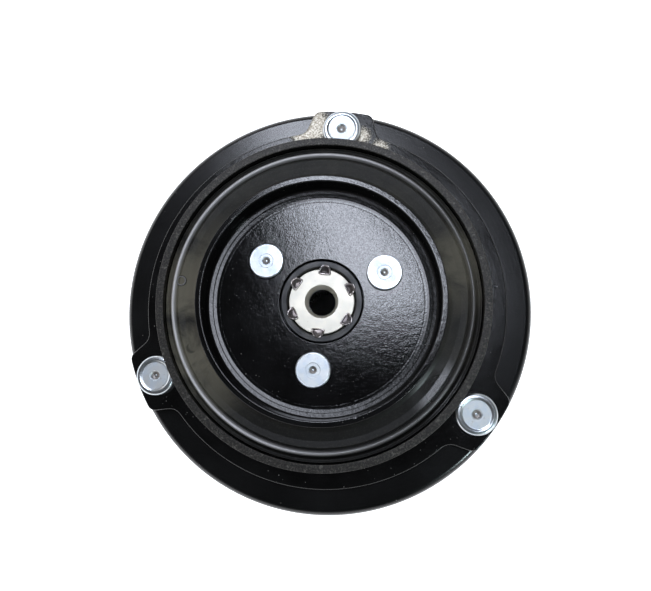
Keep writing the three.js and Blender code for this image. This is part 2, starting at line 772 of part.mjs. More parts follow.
// The gland that the coil's lead leaves through, lying in the plate's notch.
function leadGrommet() {
  const recess = 0.2; // from each face of the plate
  const height = COIL_PLATE_T - 2 * recess;
  const cornerR = 0.8;
  const boreR = 0.7;
  const curveSteps = 4;
  const shape = new THREE.Shape();
  const halfW = GROMMET_W / 2;
  shape.moveTo(-halfW + cornerR, 0);
  shape.lineTo(halfW - cornerR, 0);
  shape.quadraticCurveTo(halfW, 0, halfW, cornerR);
  shape.lineTo(halfW, height);
  shape.lineTo(-halfW, height);
  shape.lineTo(-halfW, cornerR);
  shape.quadraticCurveTo(-halfW, 0, -halfW + cornerR, 0);
  const bore = new THREE.Path();
  bore.absarc(0, height / 2, boreR, 0, 2 * Math.PI, true);
  shape.holes.push(bore);
  const options = { depth: GROMMET_L, bevelEnabled: false, curveSegments: curveSteps };
  return new THREE.ExtrudeGeometry(shape, options)
    .rotateX(Math.PI / 2)
    .rotateZ(Math.PI / 2)
    .translate(PLATE_OUT_R - GROMMET_L, 0, recess);
}

// ---- assembly ----
const placed = (geometry, atR, atDeg) =>
  geometry.translate(atR * Math.cos(rad(atDeg)), atR * Math.sin(rad(atDeg)), 0);

add("armature_plate", "black_satin", armaturePlate());
add("outer_ring", "black_coat", outerRing());
EAR_ANGLES.forEach((deg, i) => {
  add(`outer_rivet_${i + 1}`, "zinc", placed(outerRivet(), OUTER_RIVET_PITCH_R, deg));
});
add("rubber_damper", "rubber", rubberDamper());
add("damper_cup", "black_coat", damperCup());
add("hub", "dark_steel", hub());
add("hub_disc", "zinc", hubDisc());
INNER_RIVET_ANGLES.forEach((deg, i) => {
  add(`inner_rivet_${i + 1}`, "zinc", placed(innerRivet(), INNER_RIVET_PITCH_R, deg));
});
add("adjusting_shim_thick", "bare_steel", thickShim());
add("adjusting_shim_thin", "bare_steel", thinShim());
add("pulley_rim", "black_satin", pulleyRim());
add("rotor", "bare_steel", rotor());
add("bearing_outer_race", "bearing_steel", bearingOuterRace());
add("bearing_seal_front", "rubber", bearingSeal(BEARING_FRONT_Z - SEAL_INSET - SEAL_T));
add("bearing_seal_rear", "rubber", bearingSeal(BEARING_REAR_Z + SEAL_INSET));
add("bearing_snap_ring", "dark_steel", bearingSnapRing());
add("ball_cage_rear", "bearing_steel", ballCage(ROW_Z[0]));
add("ball_cage_front", "bearing_steel", ballCage(ROW_Z[1]));
add("bearing_inner_race", "bearing_steel", bearingInnerRace());
add("nose_circlip", "dark_steel", noseCirclip());
add("coil_housing", "black_satin", coilHousing());
add("coil_bobbin", "nylon", coilBobbin());
add("coil_winding", "copper", coilWinding());
add("coil_potting", "epoxy", coilPotting());
add("coil_plate", "black_satin", coilPlate());
add("coil_circlip", "dark_steel", coilCirclip());
add("lead_grommet", "rubber", leadGrommet(), LEAD_DEG);

export default clutch;
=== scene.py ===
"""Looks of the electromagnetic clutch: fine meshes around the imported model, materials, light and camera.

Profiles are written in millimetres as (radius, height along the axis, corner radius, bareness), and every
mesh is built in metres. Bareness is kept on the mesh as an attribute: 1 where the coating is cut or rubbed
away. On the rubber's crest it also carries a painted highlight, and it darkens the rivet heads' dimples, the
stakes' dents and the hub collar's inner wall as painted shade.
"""
import math
import random

import bmesh
import bpy
from mathutils import Matrix, Vector, noise

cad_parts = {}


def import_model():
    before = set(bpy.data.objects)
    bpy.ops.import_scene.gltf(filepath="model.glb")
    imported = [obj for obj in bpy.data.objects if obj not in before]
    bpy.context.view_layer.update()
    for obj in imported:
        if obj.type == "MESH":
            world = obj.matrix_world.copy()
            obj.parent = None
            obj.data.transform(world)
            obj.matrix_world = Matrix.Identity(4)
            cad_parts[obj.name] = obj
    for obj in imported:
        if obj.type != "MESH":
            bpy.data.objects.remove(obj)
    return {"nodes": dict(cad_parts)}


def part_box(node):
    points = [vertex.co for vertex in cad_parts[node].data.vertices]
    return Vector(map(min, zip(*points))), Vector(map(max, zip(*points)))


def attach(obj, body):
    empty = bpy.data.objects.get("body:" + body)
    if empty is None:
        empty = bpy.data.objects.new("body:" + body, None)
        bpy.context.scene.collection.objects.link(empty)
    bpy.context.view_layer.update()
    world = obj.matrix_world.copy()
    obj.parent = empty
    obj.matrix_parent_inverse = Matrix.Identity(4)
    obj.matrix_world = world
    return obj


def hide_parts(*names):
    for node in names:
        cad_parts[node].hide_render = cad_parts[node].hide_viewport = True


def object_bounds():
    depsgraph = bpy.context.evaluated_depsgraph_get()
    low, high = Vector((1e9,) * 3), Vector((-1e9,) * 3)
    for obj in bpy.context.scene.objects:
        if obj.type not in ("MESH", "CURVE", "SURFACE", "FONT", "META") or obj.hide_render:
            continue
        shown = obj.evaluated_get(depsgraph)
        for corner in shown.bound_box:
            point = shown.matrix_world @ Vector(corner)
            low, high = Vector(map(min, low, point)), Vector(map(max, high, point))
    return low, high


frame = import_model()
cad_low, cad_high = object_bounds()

MM = 0.001
SIDES = 256  # sides of the large turned pieces
SMALL_SIDES = 96  # sides of the rivets
DISC_SIDES = 192  # sides of the bolt disc, rotor and coil plate
HUB_SIDES = 240  # a multiple of the spline's teeth
ARC_STEPS = 5
SUPPORT = 0.04  # from an arc to the loop that keeps the face beside it flat, in millimetres
SHARP_ANGLE = math.radians(32)
SEED = 7

EARS = 3
FIRST_EAR = math.radians(83.5)
FIRST_INNER_RIVET = math.radians(23.5)
STAKES = 6
THIRD_TURN = math.tau / 3


# ---- sizes that come from the frame ----
def span(node):
    """Lowest and highest level of a CAD node and its outer radius, in millimetres."""
    low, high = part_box(node)
    return low.z / MM, high.z / MM, (high.x - low.x) / 2 / MM


def centre(node):
    low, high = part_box(node)
    return (low + high) / 2


ARMATURE_REAR, ARMATURE_FRONT, ARMATURE_R = span("armature_plate")
RING_REAR, RIM_TOP, _ = span("outer_ring")
CUP_REAR, CUP_TOP, CUP_R = span("damper_cup")
HUB_REAR, COLLAR_TOP, HUB_R = span("hub")
DISC_REAR, DISC_TOP, DISC_R = span("hub_disc")
RUBBER_REAR, BEAD_TOP, RUBBER_R = span("rubber_damper")
PULLEY_REAR, PULLEY_FRONT, PULLEY_R = span("pulley_rim")
PLATE_REAR, PLATE_FRONT, PLATE_R = span("coil_plate")
RING_TOP = ARMATURE_FRONT + 3.2
RIM_IN_R = RUBBER_R + 0.1
RIM_OUT_R = RIM_IN_R + 2.1
FLANGE_R = 51.9
EAR_R = 58.6
EAR_TIP_HALF_W = 8.6
EAR_FOOT_HALF_W = 10.9
CUP_FLOOR = CUP_REAR + 3
CUP_IN_R = CUP_R - 1.7
CUP_HOLE_R = 11.95
COLLAR_R = 11.65
COLLAR_IN_R = 9.9
SPLINE_R = 5.6
DISC_FACE = DISC_TOP - 0.15
EAR_ANGLES = [FIRST_EAR + THIRD_TURN * i for i in range(EARS)]


# ---- mesh helpers ----
def polar(radius, angle, z=0.0):
    return Vector((radius * math.cos(angle), radius * math.sin(angle), z))


def directions(angle):
    """Unit vectors outwards and anticlockwise at an angle."""
    along = polar(1, angle)
    return along, Vector((-along.y, along.x, 0))


def rounded(points):
    """The closed profile with an arc at each corner that has a radius."""
    filled = [tuple(p) + (0,) * (4 - len(p)) for p in points]
    out = []
    for i, (r, z, corner, bare) in enumerate(filled):
        here = Vector((r, z))
        if not corner:
            out.append((r, z, bare))
            continue
        back = Vector(filled[i - 1][:2]) - here
        ahead = Vector(filled[(i + 1) % len(filled)][:2]) - here
        half = back.angle(ahead) / 2
        reach = min(corner / math.tan(half), 0.49 * back.length, 0.49 * ahead.length)
        radius = reach * math.tan(half)
        middle = here + (back.normalized() + ahead.normalized()).normalized() * radius / math.sin(half)
        start = here + back.normalized() * reach - middle
        end = here + ahead.normalized() * reach - middle
        first = math.atan2(start.y, start.x)
        turn = (math.atan2(end.y, end.x) - first + math.pi) % math.tau - math.pi
        arc = []
        for k in range(ARC_STEPS + 1):
            t = first + turn * k / ARC_STEPS
            arc.append((middle.x + radius * math.cos(t), middle.y + radius * math.sin(t), bare))
        before = here + back.normalized() * (reach + SUPPORT)
        after = here + ahead.normalized() * (reach + SUPPORT)
        if back.length > 2 * (reach + SUPPORT):
            arc.insert(0, (before.x, before.y, bare))
        if ahead.length > 2 * (reach + SUPPORT):
            arc.append((after.x, after.y, bare))
        out += arc
    return out


def mesh_object(name, bm, material):
    """A finished object in metres from a bmesh in millimetres, with its normals pointing out."""
    bmesh.ops.remove_doubles(bm, verts=bm.verts, dist=0.0005)
    bmesh.ops.recalc_face_normals(bm, faces=bm.faces)
    bmesh.ops.scale(bm, vec=(MM, MM, MM), verts=bm.verts)
    mesh = bpy.data.meshes.new(name)
    bm.to_mesh(mesh)
    bm.free()
    mesh.shade_smooth()
    mesh.set_sharp_from_angle(angle=SHARP_ANGLE)
    mesh.materials.append(material)
    made = bpy.data.objects.new(name, mesh)
    bpy.context.scene.collection.objects.link(made)
    return made


def loft(bm, loops):
    """Skins closed loops of equal length, each with a bareness, into one closed body."""
    layer = bm.verts.layers.float.get("bare") or bm.verts.layers.float.new("bare")
    rows = []
    for points, bare in loops:
        row = [bm.verts.new(p) for p in points]
        for v in row:
            v[layer] = bare
        rows.append(row)
    for a, b in zip(rows, rows[1:] + rows[:1]):
        for i in range(len(a)):
            j = (i + 1) % len(a)
            bm.faces.new([a[i], a[j], b[j], b[i]])


def turned_into(bm, profile, sides, at=(0, 0), radius_at=None):
    """Adds a turned body. radius_at(radius, angle), if given, reshapes each ring."""
    loops = []
    angles = [math.tau * k / sides for k in range(sides)]
    for r, z, bare in rounded(profile):
        row = []
        for angle in angles:
            real = radius_at(r, angle) if radius_at else r
            row.append(polar(max(real, 0.0), angle, z) + Vector((*at, 0)))
        loops.append((row, bare))
    loft(bm, loops)


def turned(name, profile, material, sides=SIDES, at=(0, 0)):
    """A turned piece round the axis, or round a line beside it."""
    bm = bmesh.new()
    turned_into(bm, profile, sides, at)
    return mesh_object(name, bm, material)


def put(piece, node, body):
    """The piece rides on its body and stands for the CAD node, which it hides."""
    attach(piece, body)
    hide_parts(node)


def cut_by(piece, tools):
    """Cuts the tools out of the piece and deletes them."""
    for tool in tools:
        modifier = piece.modifiers.new("cut", "BOOLEAN")
        modifier.operation = "DIFFERENCE"
        modifier.solver = "EXACT"
        modifier.object = tool
        graph = bpy.context.evaluated_depsgraph_get()
        mesh = bpy.data.meshes.new_from_object(piece.evaluated_get(graph))
        piece.modifiers.clear()
        piece.data = mesh
        bpy.data.objects.remove(tool)
    piece.data.shade_smooth()
    piece.data.set_sharp_from_angle(angle=SHARP_ANGLE)


def prism_tool(outline, low, high, material):
    """A cutter with this outline between two levels."""
    bm = bmesh.new()
    rows = [[bm.verts.new((p.x, p.y, z)) for p in outline] for z in (low, high)]
    bm.faces.new(rows[0])
    bm.faces.new(rows[1])
    for i in range(len(outline)):
        j = (i + 1) % len(outline)
        bm.faces.new([rows[0][i], rows[0][j], rows[1][j], rows[1][i]])
    return mesh_object("cutter", bm, material)


def slot_outline(mid_r, width, from_angle, to_angle):
    """A curved slot with round ends, anticlockwise from its far end."""
    steps = 24
    half = width / 2
    outline = []
    for start, out in ((to_angle, 1), (from_angle, -1)):
        along, across = directions(start)
        for k in range(steps + 1):
            t = math.pi * k / steps
            outline.append(along * (mid_r + math.cos(t) * half * out) + across * math.sin(t) * half * out)
        sweep = (from_angle - to_angle) * out
        for k in range(1, steps):
            outline.append(polar(mid_r - out * half, start + sweep * k / steps))
    return outline


def hole_outline(radius, at):
    sides = 48
    return [polar(radius, math.tau * k / sides) + at for k in range(sides)]


# ---- material helpers ----
class Finish:
    """A material's node tree, with short calls for the nodes that the finishes share."""

    def __init__(self, name):
        self.material = bpy.data.materials.new(name)
        self.material.use_nodes = True
        self.tree = self.material.node_tree
        self.shader = self.tree.nodes["Principled BSDF"]
        self.coords = self.node("ShaderNodeTexCoord").outputs["Object"]

    def node(self, kind, **settings):
        made = self.tree.nodes.new(kind)
        for key, value in settings.items():
            setattr(made, key, value)
        return made

    def link(self, source, target):
        if isinstance(source, (int, float)):
            target.default_value = source
        else:
            self.tree.links.new(source, target)

    def math(self, operation, a, b=0.0):
        made = self.node("ShaderNodeMath", operation=operation)
        self.link(a, made.inputs[0])
        self.link(b, made.inputs[1])
        return made.outputs[0]

    def moved(self, scale, turn=0.0):
        """The object's coordinates turned round the axis and scaled."""
        made = self.node("ShaderNodeMapping")
        self.link(self.coords, made.inputs["Vector"])
        made.inputs["Scale"].default_value = scale
        made.inputs["Rotation"].default_value = (0, 0, turn)
        return made.outputs[0]

    def noise(self, size, detail=3.0, roughness=0.5, distortion=0.0):
        """Noise with features of about this size in metres."""
        made = self.node("ShaderNodeTexNoise")
        self.link(self.coords, made.inputs["Vector"])
        made.inputs["Scale"].default_value = 1 / size
        made.inputs["Detail"].default_value = detail
        made.inputs["Roughness"].default_value = roughness
        made.inputs["Distortion"].default_value = distortion
        return made.outputs["Fac"]

    def axes(self):
        """The place on the object as three numbers, in metres."""
        parts = self.node("ShaderNodeSeparateXYZ")
        self.link(self.coords, parts.inputs[0])
        return parts.outputs

    def radius(self):
        x, y, _ = self.axes()
        return self.math("SQRT", self.math("ADD", self.math("MULTIPLY", x, x), self.math("MULTIPLY", y, y)))

    def level(self):
        """Height along the axis, in metres."""
        return self.axes()["Z"]

    def turning(self, pitch):
        """Fine rings round the axis, as a turned or pressed surface has."""
        made = self.node("ShaderNodeTexNoise", noise_dimensions="1D")
        self.link(self.radius(), made.inputs["W"])
        made.inputs["Scale"].default_value = 1 / pitch
        made.inputs["Detail"].default_value = 4.0
        return made.outputs["Fac"]

    def distance(self, x, y):
        """Distance from a line along the axis through a point, in metres."""
        made = self.node("ShaderNodeVectorMath", operation="DISTANCE")
        self.link(self.moved(scale=(1, 1, 0)), made.inputs[0])
        made.inputs[1].default_value = (x, y, 0)
        return made.outputs["Value"]

    def near(self, x, y, inner, outer):
        """1 within the inner distance of that line, falling to 0 at the outer distance."""
        return self.step(self.distance(x, y), outer, inner)

    def step(self, value, low, high):
        """0 below low and 1 above high, smooth between."""
        made = self.node("ShaderNodeMapRange", interpolation_type="SMOOTHSTEP")
        self.link(value, made.inputs["Value"])
        made.inputs["From Min"].default_value = low
        made.inputs["From Max"].default_value = high
        return made.outputs["Result"]

    def band(self, value, low, high, fade):
        """1 from low to high, falling to 0 over the fade on either side."""
        rise = self.step(value, low - fade, low)
        fall = self.step(value, high + fade, high)
        return self.math("MULTIPLY", rise, fall)

    def specks(self, size, share, spread=0.3, coords=None):
        """Small round specks: cells of this size in metres, of which a share holds one."""
        cells = self.node("ShaderNodeTexVoronoi", feature="F1")
        self.link(coords or self.coords, cells.inputs["Vector"])
        cells.inputs["Scale"].default_value = 1 / size
        near = self.step(cells.outputs["Distance"], spread, spread * 0.6)
        tint = self.node("ShaderNodeSeparateColor")
        self.link(cells.outputs["Color"], tint.inputs[0])
        chosen = self.math("GREATER_THAN", tint.outputs[0], 1 - share)
        return self.math("MULTIPLY", near, chosen)

    def mix(self, factor, a, b):
        made = self.node("ShaderNodeMix", data_type="RGBA")
        self.link(factor, made.inputs["Factor"])
        for socket, value in ((made.inputs["A"], a), (made.inputs["B"], b)):
            if isinstance(value, tuple):
                socket.default_value = (*value, 1)
            else:
                self.link(value, socket)
        return made.outputs["Result"]

    def blend(self, factor, a, b):
        """A number that goes from a to b."""
        made = self.node("ShaderNodeMix", data_type="FLOAT")
        self.link(factor, made.inputs["Factor"])
        self.link(a, made.inputs["A"])
        self.link(b, made.inputs["B"])
        return made.outputs["Result"]

    def bare(self):
        made = self.node("ShaderNodeAttribute", attribute_name="bare")
        return made.outputs["Fac"]

    def bump(self, layers, distance=0.0001):
        """Adds up (height, share) layers and uses them as the shader's bump."""
        total = None
        for height, share in layers:
            part = self.math("MULTIPLY", height, share)
            total = part if total is None else self.math("ADD", total, part)
        made = self.node("ShaderNodeBump")
        made.inputs["Distance"].default_value = distance
        self.link(total, made.inputs["Height"])
        self.link(made.outputs[0], self.shader.inputs["Normal"])

    def drive(self, **sources):
        """Links each source to the shader's socket of that name, written with underscores."""
        for key, source in sources.items():
            self.link(source, self.shader.inputs[key.replace("_", " ").title().replace("Ior", "IOR")])


# A patch is a place with its inner and outer reach, in metres.
RING_SCUFFS = [
    (-0.0045, 0.0545, 0.0040, 0.0090),
    (0.0118, 0.0503, 0.0006, 0.0050),
    (0.0172, 0.0462, 0.0004, 0.0050),
]
CUP_IRONED = (29.6 * MM, 32.2 * MM)  # the bands in the cup's corner lie between these radii
DUST_GREY = (0.20, 0.19, 0.175)


def rubbed_paint(f, scuffs):
    """1 on the ring's top face where it is rubbed, in a ragged spot at each scuff."""
    bareness_level = 0.0
    for scuff in scuffs:
        bareness_level = f.math("MAXIMUM", bareness_level, f.near(*scuff))
    ragged = f.math("ADD", f.math("MULTIPLY", bareness_level, 0.6), f.noise(0.0005, 4, 0.8))
    on_top = f.step(f.level(), (RING_TOP - 0.7) * MM, (RING_TOP - 0.2) * MM)
    return f.math("MULTIPLY", f.step(ragged, 0.70, 1.02), on_top)


def coated(name, base, roughness, peel, grain, dust, scuffs=(), ironed=None):
    """Black paint on pressed steel: orange peel, dust, and mottled steel where it is cut.

    At each scuff the paint is rubbed thin and speckled. Between the two ironed radii the press left the
    steel smooth, so the paint is more even there, and duller.
    """
    f = Finish(name)
    cloud = f.noise(0.012, 4)
    speckle = f.noise(0.0005, 4, 0.7)
    specks = f.math("MAXIMUM", f.specks(0.0015, dust, 0.12), f.specks(0.0009, dust * 2, 0.12))
    marks = f.specks(0.0042, 0.10, 0.10, f.moved(scale=(0.45, 1, 1), turn=0.8))
    chips = f.step(f.math("ADD", f.bare(), f.noise(0.00045, 3, 0.6)), 0.95, 1.35)
    flecks = f.step(f.noise(0.0012, 3, 0.65), 0.58, 0.70)
    steel = f.mix(f.step(speckle, 0.45, 0.75), (0.012, 0.011, 0.0095), (0.075, 0.068, 0.058))
    steel = f.mix(f.math("MULTIPLY", flecks, 0.35), steel, (0.20, 0.19, 0.17))
    lighter = tuple(c * 1.9 + 0.001 for c in base)
    colour = f.mix(f.step(cloud, 0.35, 0.75), base, lighter)
    colour = f.mix(f.math("MULTIPLY", specks, 0.7), colour, DUST_GREY)
    colour = f.mix(f.math("MULTIPLY", marks, 0.5), colour, (0.10, 0.10, 0.11))
    colour = f.mix(chips, colour, steel)
    rough = f.blend(f.step(cloud, 0.3, 0.7), roughness, roughness * 1.3)
    rough = f.blend(chips, rough, 0.5)
    metallic = f.math("MULTIPLY", chips, 0.35)
    shine = f.blend(f.step(f.noise(0.00042, 3, 0.7), 0.36, 0.62), 0.39, 0.59)
    fine = f.math("MULTIPLY", f.noise(grain, 3, 0.6), peel)
    coarse = f.math("MULTIPLY", f.noise(0.0016, 2), peel * 1.25)
    peeled = f.math("ADD", fine, coarse)
    if ironed:
        flat = f.band(f.radius(), *ironed, 0.5 * MM)
        peeled = f.math("MULTIPLY", peeled, f.blend(flat, 1.0, 0.3))
        shine = f.math("MULTIPLY", shine, f.blend(flat, 1.0, 0.55))
    relief = [(peeled, 1.0), (specks, 0.4), (marks, -0.5), (chips, -0.2)]
    if scuffs:
        rubbed = rubbed_paint(f, scuffs)
        thin = f.mix(f.step(speckle, 0.40, 0.64), (0.20, 0.17, 0.125), (0.56, 0.53, 0.45))
        colour = f.mix(f.math("MULTIPLY", rubbed, 0.85), colour, thin)
        metallic = f.math("MAXIMUM", metallic, f.math("MULTIPLY", rubbed, 0.6))
        rough = f.blend(rubbed, rough, 0.36)
        relief.append((rubbed, 0.35))
    f.drive(base_color=colour, roughness=rough, metallic=metallic, specular_ior_level=shine)
    f.bump(relief)
    return f.material


def satin(name, base, roughness, specular=0.5):
    """Dark phosphated steel with faint turning rings and light specks."""
    f = Finish(name)
    cloud = f.noise(0.016, 5, 0.6)
    rings = f.turning(0.0004)
    specks = f.specks(0.0017, 0.08, 0.10)
    grain = f.noise(0.0004, 3, 0.6)
    lighter = tuple(c * 2.2 + 0.002 for c in base)
    colour = f.mix(f.step(cloud, 0.35, 0.72), base, lighter)
    colour = f.mix(f.math("MULTIPLY", rings, 0.25), colour, lighter)
    colour = f.mix(f.math("MULTIPLY", specks, 0.8), colour, (0.13, 0.12, 0.105))
    rough = f.blend(cloud, roughness * 0.88, roughness * 1.15)
    f.drive(base_color=colour, roughness=rough)
    f.shader.inputs["Metallic"].default_value = 0.04
    f.shader.inputs["Specular IOR Level"].default_value = specular
    f.bump([(rings, 0.10), (grain, 0.16), (specks, 0.4)])
    return f.material


COOL_TINT = (0.9, 0.93, 1.0)
STAIN_BROWN = (0.2, 0.17, 0.13)


def metal(name, base, roughness, tint=COOL_TINT, grain=0.15, pitch=0.0, stain=0.25, dark=STAIN_BROWN):
    """Plated or bare steel: cloudy plating, fine grain, brownish stains, turning rings if it has a pitch, and
    painted shade where bareness is 1.
    """
    f = Finish(name)
    cloud = f.noise(0.004, 4, 0.6)
    fine = f.noise(0.00025, 3)
    stains = f.step(f.noise(0.0011, 5, 0.65), 0.60, 0.78)
    tinted = tuple(b * t for b, t in zip(base, tint))
    colour = f.mix(f.step(cloud, 0.35, 0.65), base, tinted)
    colour = f.mix(f.math("MULTIPLY", stains, stain), colour, dark)
    # Painted shade: bareness darkens the stakes' dents and the hub collar's inner wall down to the disc.
    colour = f.mix(f.math("MULTIPLY", f.bare(), 0.8), colour, dark)
    rough = f.blend(cloud, roughness * 0.8, roughness * 1.25)
    rough = f.math("ADD", rough, f.math("MULTIPLY", stains, 0.15))
    f.drive(base_color=colour, roughness=rough)
    f.shader.inputs["Metallic"].default_value = 1.0
    layers = [(fine, grain), (stains, -0.1)]
    if pitch:
        layers.append((f.turning(pitch), 0.5))
    f.bump(layers, 0.00005)
    return f.material


def rivet_finish(name, base, polished, satin_rough):
    """Zinc-plated rivet head: polished where bareness is 0, satin at 0.5, darkened brown at 1 as painted
    shade in the dimples.
    """
    f = Finish(name)
    cloud = f.noise(0.003, 4, 0.6)
    fine = f.noise(0.0003, 3, 0.6)
    mottle = f.noise(0.0012, 4, 0.65)
    bareness_level = f.bare()
    is_satin = f.step(bareness_level, 0.1, 0.45)
    cooler = tuple(b * t for b, t in zip(base, (0.88, 0.93, 1.0)))
    colour = f.mix(f.step(cloud, 0.35, 0.65), base, cooler)
    stains = f.math("MULTIPLY", f.step(mottle, 0.58, 0.74), 0.4)
    colour = f.mix(stains, colour, (0.36, 0.31, 0.26))
    # Painted shade: where bareness nears 1, in the dimples, the colour is darkened brown.
    colour = f.mix(f.math("MULTIPLY", f.step(bareness_level, 0.6, 1.0), 0.75), colour, (0.16, 0.12, 0.09))
    rough = f.blend(is_satin, polished, f.blend(cloud, satin_rough * 0.85, satin_rough * 1.2))
    f.drive(base_color=colour, roughness=rough)
    f.shader.inputs["Metallic"].default_value = 1.0
    f.bump([(fine, 0.12), (mottle, 0.5), (cloud, 0.8)], 0.00005)
    return f.material


MARK_R = 39.1  # where the moulded gate mark lies on the rubber, in millimetres
MARK_ANGLE = math.radians(172)
RUBBER_DUST_LEFT = (-0.037, -0.006, 0.008, 0.034)
RUBBER_DUST_RIGHT = (0.040, 0.010, 0.003, 0.018)
# Where the rubber is darker, towards the bottom.
RUBBER_DARKER_LOW = (0.006, -0.044, 0.020, 0.042)
RUBBER_RUBBED = (0.0315, -0.0243, 0.003, 0.010)
# Where the painted highlight on the bead's crest is brightest, on the left.
RUBBER_CREST_LIT = (-0.028, 0.010, 0.040, 0.072)
CRESCENT = (-0.0352, -0.0132, 0.0012, 0.0016)
CRESCENT_HOLLOW = (-0.0345, -0.0126, 0.0012, 0.0018)


def gate_mark_shade(f):
    """Painted shade: 1 in the groove round the gate mark, less in a crescent-shaped nick beside it."""
    gate = polar(MARK_R * MM, MARK_ANGLE)
    groove = f.band(f.distance(gate.x, gate.y), 0.0011, 0.00145, 0.00015)
    outside = f.math("SUBTRACT", 1.0, f.near(*CRESCENT_HOLLOW))
    crescent = f.math("MULTIPLY", f.near(*CRESCENT), outside)
    return f.math("MAXIMUM", groove, f.math("MULTIPLY", crescent, 0.7))


def rubber_finish(name):
    """Moulded rubber: dull black with olive-grey dust in soft smudges, rubbed glossy at one place, darker
    towards the bottom, with painted shade round the gate mark and a painted highlight along the bead's crest.
    """
    f = Finish(name)
    smudge = f.noise(0.012, 5, 0.6, distortion=0.8)
    fine = f.noise(0.0005, 4, 0.7)
    rings = f.turning(0.0009)
    crest = f.bare()
    rubbed = f.near(*RUBBER_RUBBED)
    dusty = f.math("MAXIMUM", f.near(*RUBBER_DUST_LEFT), f.math("MULTIPLY", f.near(*RUBBER_DUST_RIGHT), 0.75))
    dust = f.math("MULTIPLY", dusty, f.step(smudge, 0.28, 0.62))
    colour = f.mix(f.step(smudge, 0.3, 0.7), (0.008, 0.0078, 0.0068), (0.019, 0.018, 0.0145))
    # Darker towards the bottom.
    colour = f.mix(f.math("MULTIPLY", f.near(*RUBBER_DARKER_LOW), 0.8), colour, (0.003, 0.0029, 0.0026))
    colour = f.mix(dust, colour, (0.105, 0.096, 0.072))
    # Painted shade in the groove round the gate mark and in the nick beside it.
    colour = f.mix(f.math("MULTIPLY", gate_mark_shade(f), 0.85), colour, (0.008, 0.008, 0.007))
    colour = f.mix(f.math("MULTIPLY", f.step(fine, 0.5, 0.75), 0.18), colour, (0.09, 0.086, 0.070))
    # Painted highlight: the bead's crest is lighter all round, and much lighter in the region on the left.
    crest_highlight = f.mix(f.near(*RUBBER_CREST_LIT), (0.035, 0.034, 0.033), (0.46, 0.45, 0.46))
    colour = f.mix(f.math("MULTIPLY", crest, 0.85), colour, crest_highlight)
    rough = f.blend(rubbed, f.blend(dust, 0.50, 0.75), 0.26)
    rough = f.blend(crest, rough, 0.30)
    shine = f.blend(crest, f.blend(rubbed, 0.18, 0.55), 0.8)
    f.drive(base_color=colour, roughness=rough, specular_ior_level=shine)
    f.bump([(fine, 0.25), (rings, 0.2), (smudge, 0.5)])
    return f.material


def plain_moulding(name, base, roughness):
    """Moulded or poured material with a fine uneven skin."""
    f = Finish(name)
    cloud = f.noise(0.006, 4)
    fine = f.noise(0.0006, 3)
    colour = f.mix(cloud, tuple(c * 0.8 for c in base), tuple(c * 1.3 for c in base))
    f.drive(base_color=colour, roughness=f.blend(fine, roughness * 0.85, roughness * 1.15))
    f.bump([(fine, 0.3), (cloud, 0.3)])
    return f.material


def winding_finish(name):
    """Enamelled copper wire laid in turns."""
    f = Finish(name)
    wave = f.node("ShaderNodeTexWave", bands_direction="Z")
    f.link(f.coords, wave.inputs["Vector"])
    wave.inputs["Scale"].default_value = 320.0
    turns = wave.outputs["Fac"]
    colour = f.mix(turns, (0.16, 0.05, 0.02), (0.55, 0.22, 0.09))
    f.drive(base_color=colour, roughness=f.blend(turns, 0.45, 0.25))
    f.shader.inputs["Metallic"].default_value = 0.9
    f.bump([(turns, 1.0)], 0.0003)
    return f.material


BLACK_COAT = coated("black_coat", (0.0024, 0.0024, 0.0026), roughness=0.095, peel=0.30, grain=0.00040,
                    dust=0.12, ironed=CUP_IRONED)
RING_COAT = coated("ring_coat", (0.0013, 0.0013, 0.0013), roughness=0.17, peel=0.34, grain=0.00045,
                   dust=0.08, scuffs=RING_SCUFFS)
BLACK_SATIN = satin("black_satin", (0.0014, 0.0015, 0.0016), 0.22, specular=0.7)
RIM_SATIN = satin("rim_satin", (0.008, 0.0083, 0.009), 0.38)
ZINC = rivet_finish("zinc", (0.68, 0.71, 0.72), polished=0.28, satin_rough=0.50)
DISC_ZINC = metal("disc_zinc", (0.80, 0.76, 0.665), 0.56, tint=(0.95, 0.97, 1.0), stain=0.35,
                  dark=(0.40, 0.33, 0.20))
DARK_STEEL = metal("dark_steel", (0.062, 0.062, 0.062), 0.45, tint=(0.75, 0.77, 0.8), pitch=0.00025,
                   dark=(0.02, 0.018, 0.015))
BURR_STEEL = metal("burr_steel", (0.50, 0.45, 0.43), 0.34, stain=0.5, dark=(0.05, 0.042, 0.038))
BARE_STEEL = metal("bare_steel", (0.48, 0.48, 0.49), 0.35, pitch=0.0004)
BEARING_STEEL = metal("bearing_steel", (0.62, 0.63, 0.65), 0.18, grain=0.04, stain=0.1)
RUBBER = rubber_finish("rubber")
SEAL_RUBBER = plain_moulding("seal_rubber", (0.02, 0.02, 0.019), 0.6)
NYLON = plain_moulding("nylon", (0.025, 0.028, 0.032), 0.5)
EPOXY = plain_moulding("epoxy", (0.008, 0.014, 0.010), 0.3)
COPPER = winding_finish("copper")


# ---- armature ----
def armature_plate():
    bore = 28.5
    put(turned("armature_face", [
        (bore, ARMATURE_REAR, 0.3),
        (ARMATURE_R, ARMATURE_REAR, 0.4),
        (ARMATURE_R, ARMATURE_FRONT, 2.0),
        (bore, ARMATURE_FRONT, 0.3),
    ], BLACK_SATIN), "armature_plate", "armature")


def bend(start, corner, end):
    """Points of a quadratic curve after start, up to and with end."""
    steps = 8
    out = []
    for k in range(1, steps + 1):
        t = k / steps
        out.append(start * (1 - t) ** 2 + corner * 2 * t * (1 - t) + end * t * t)
    return out


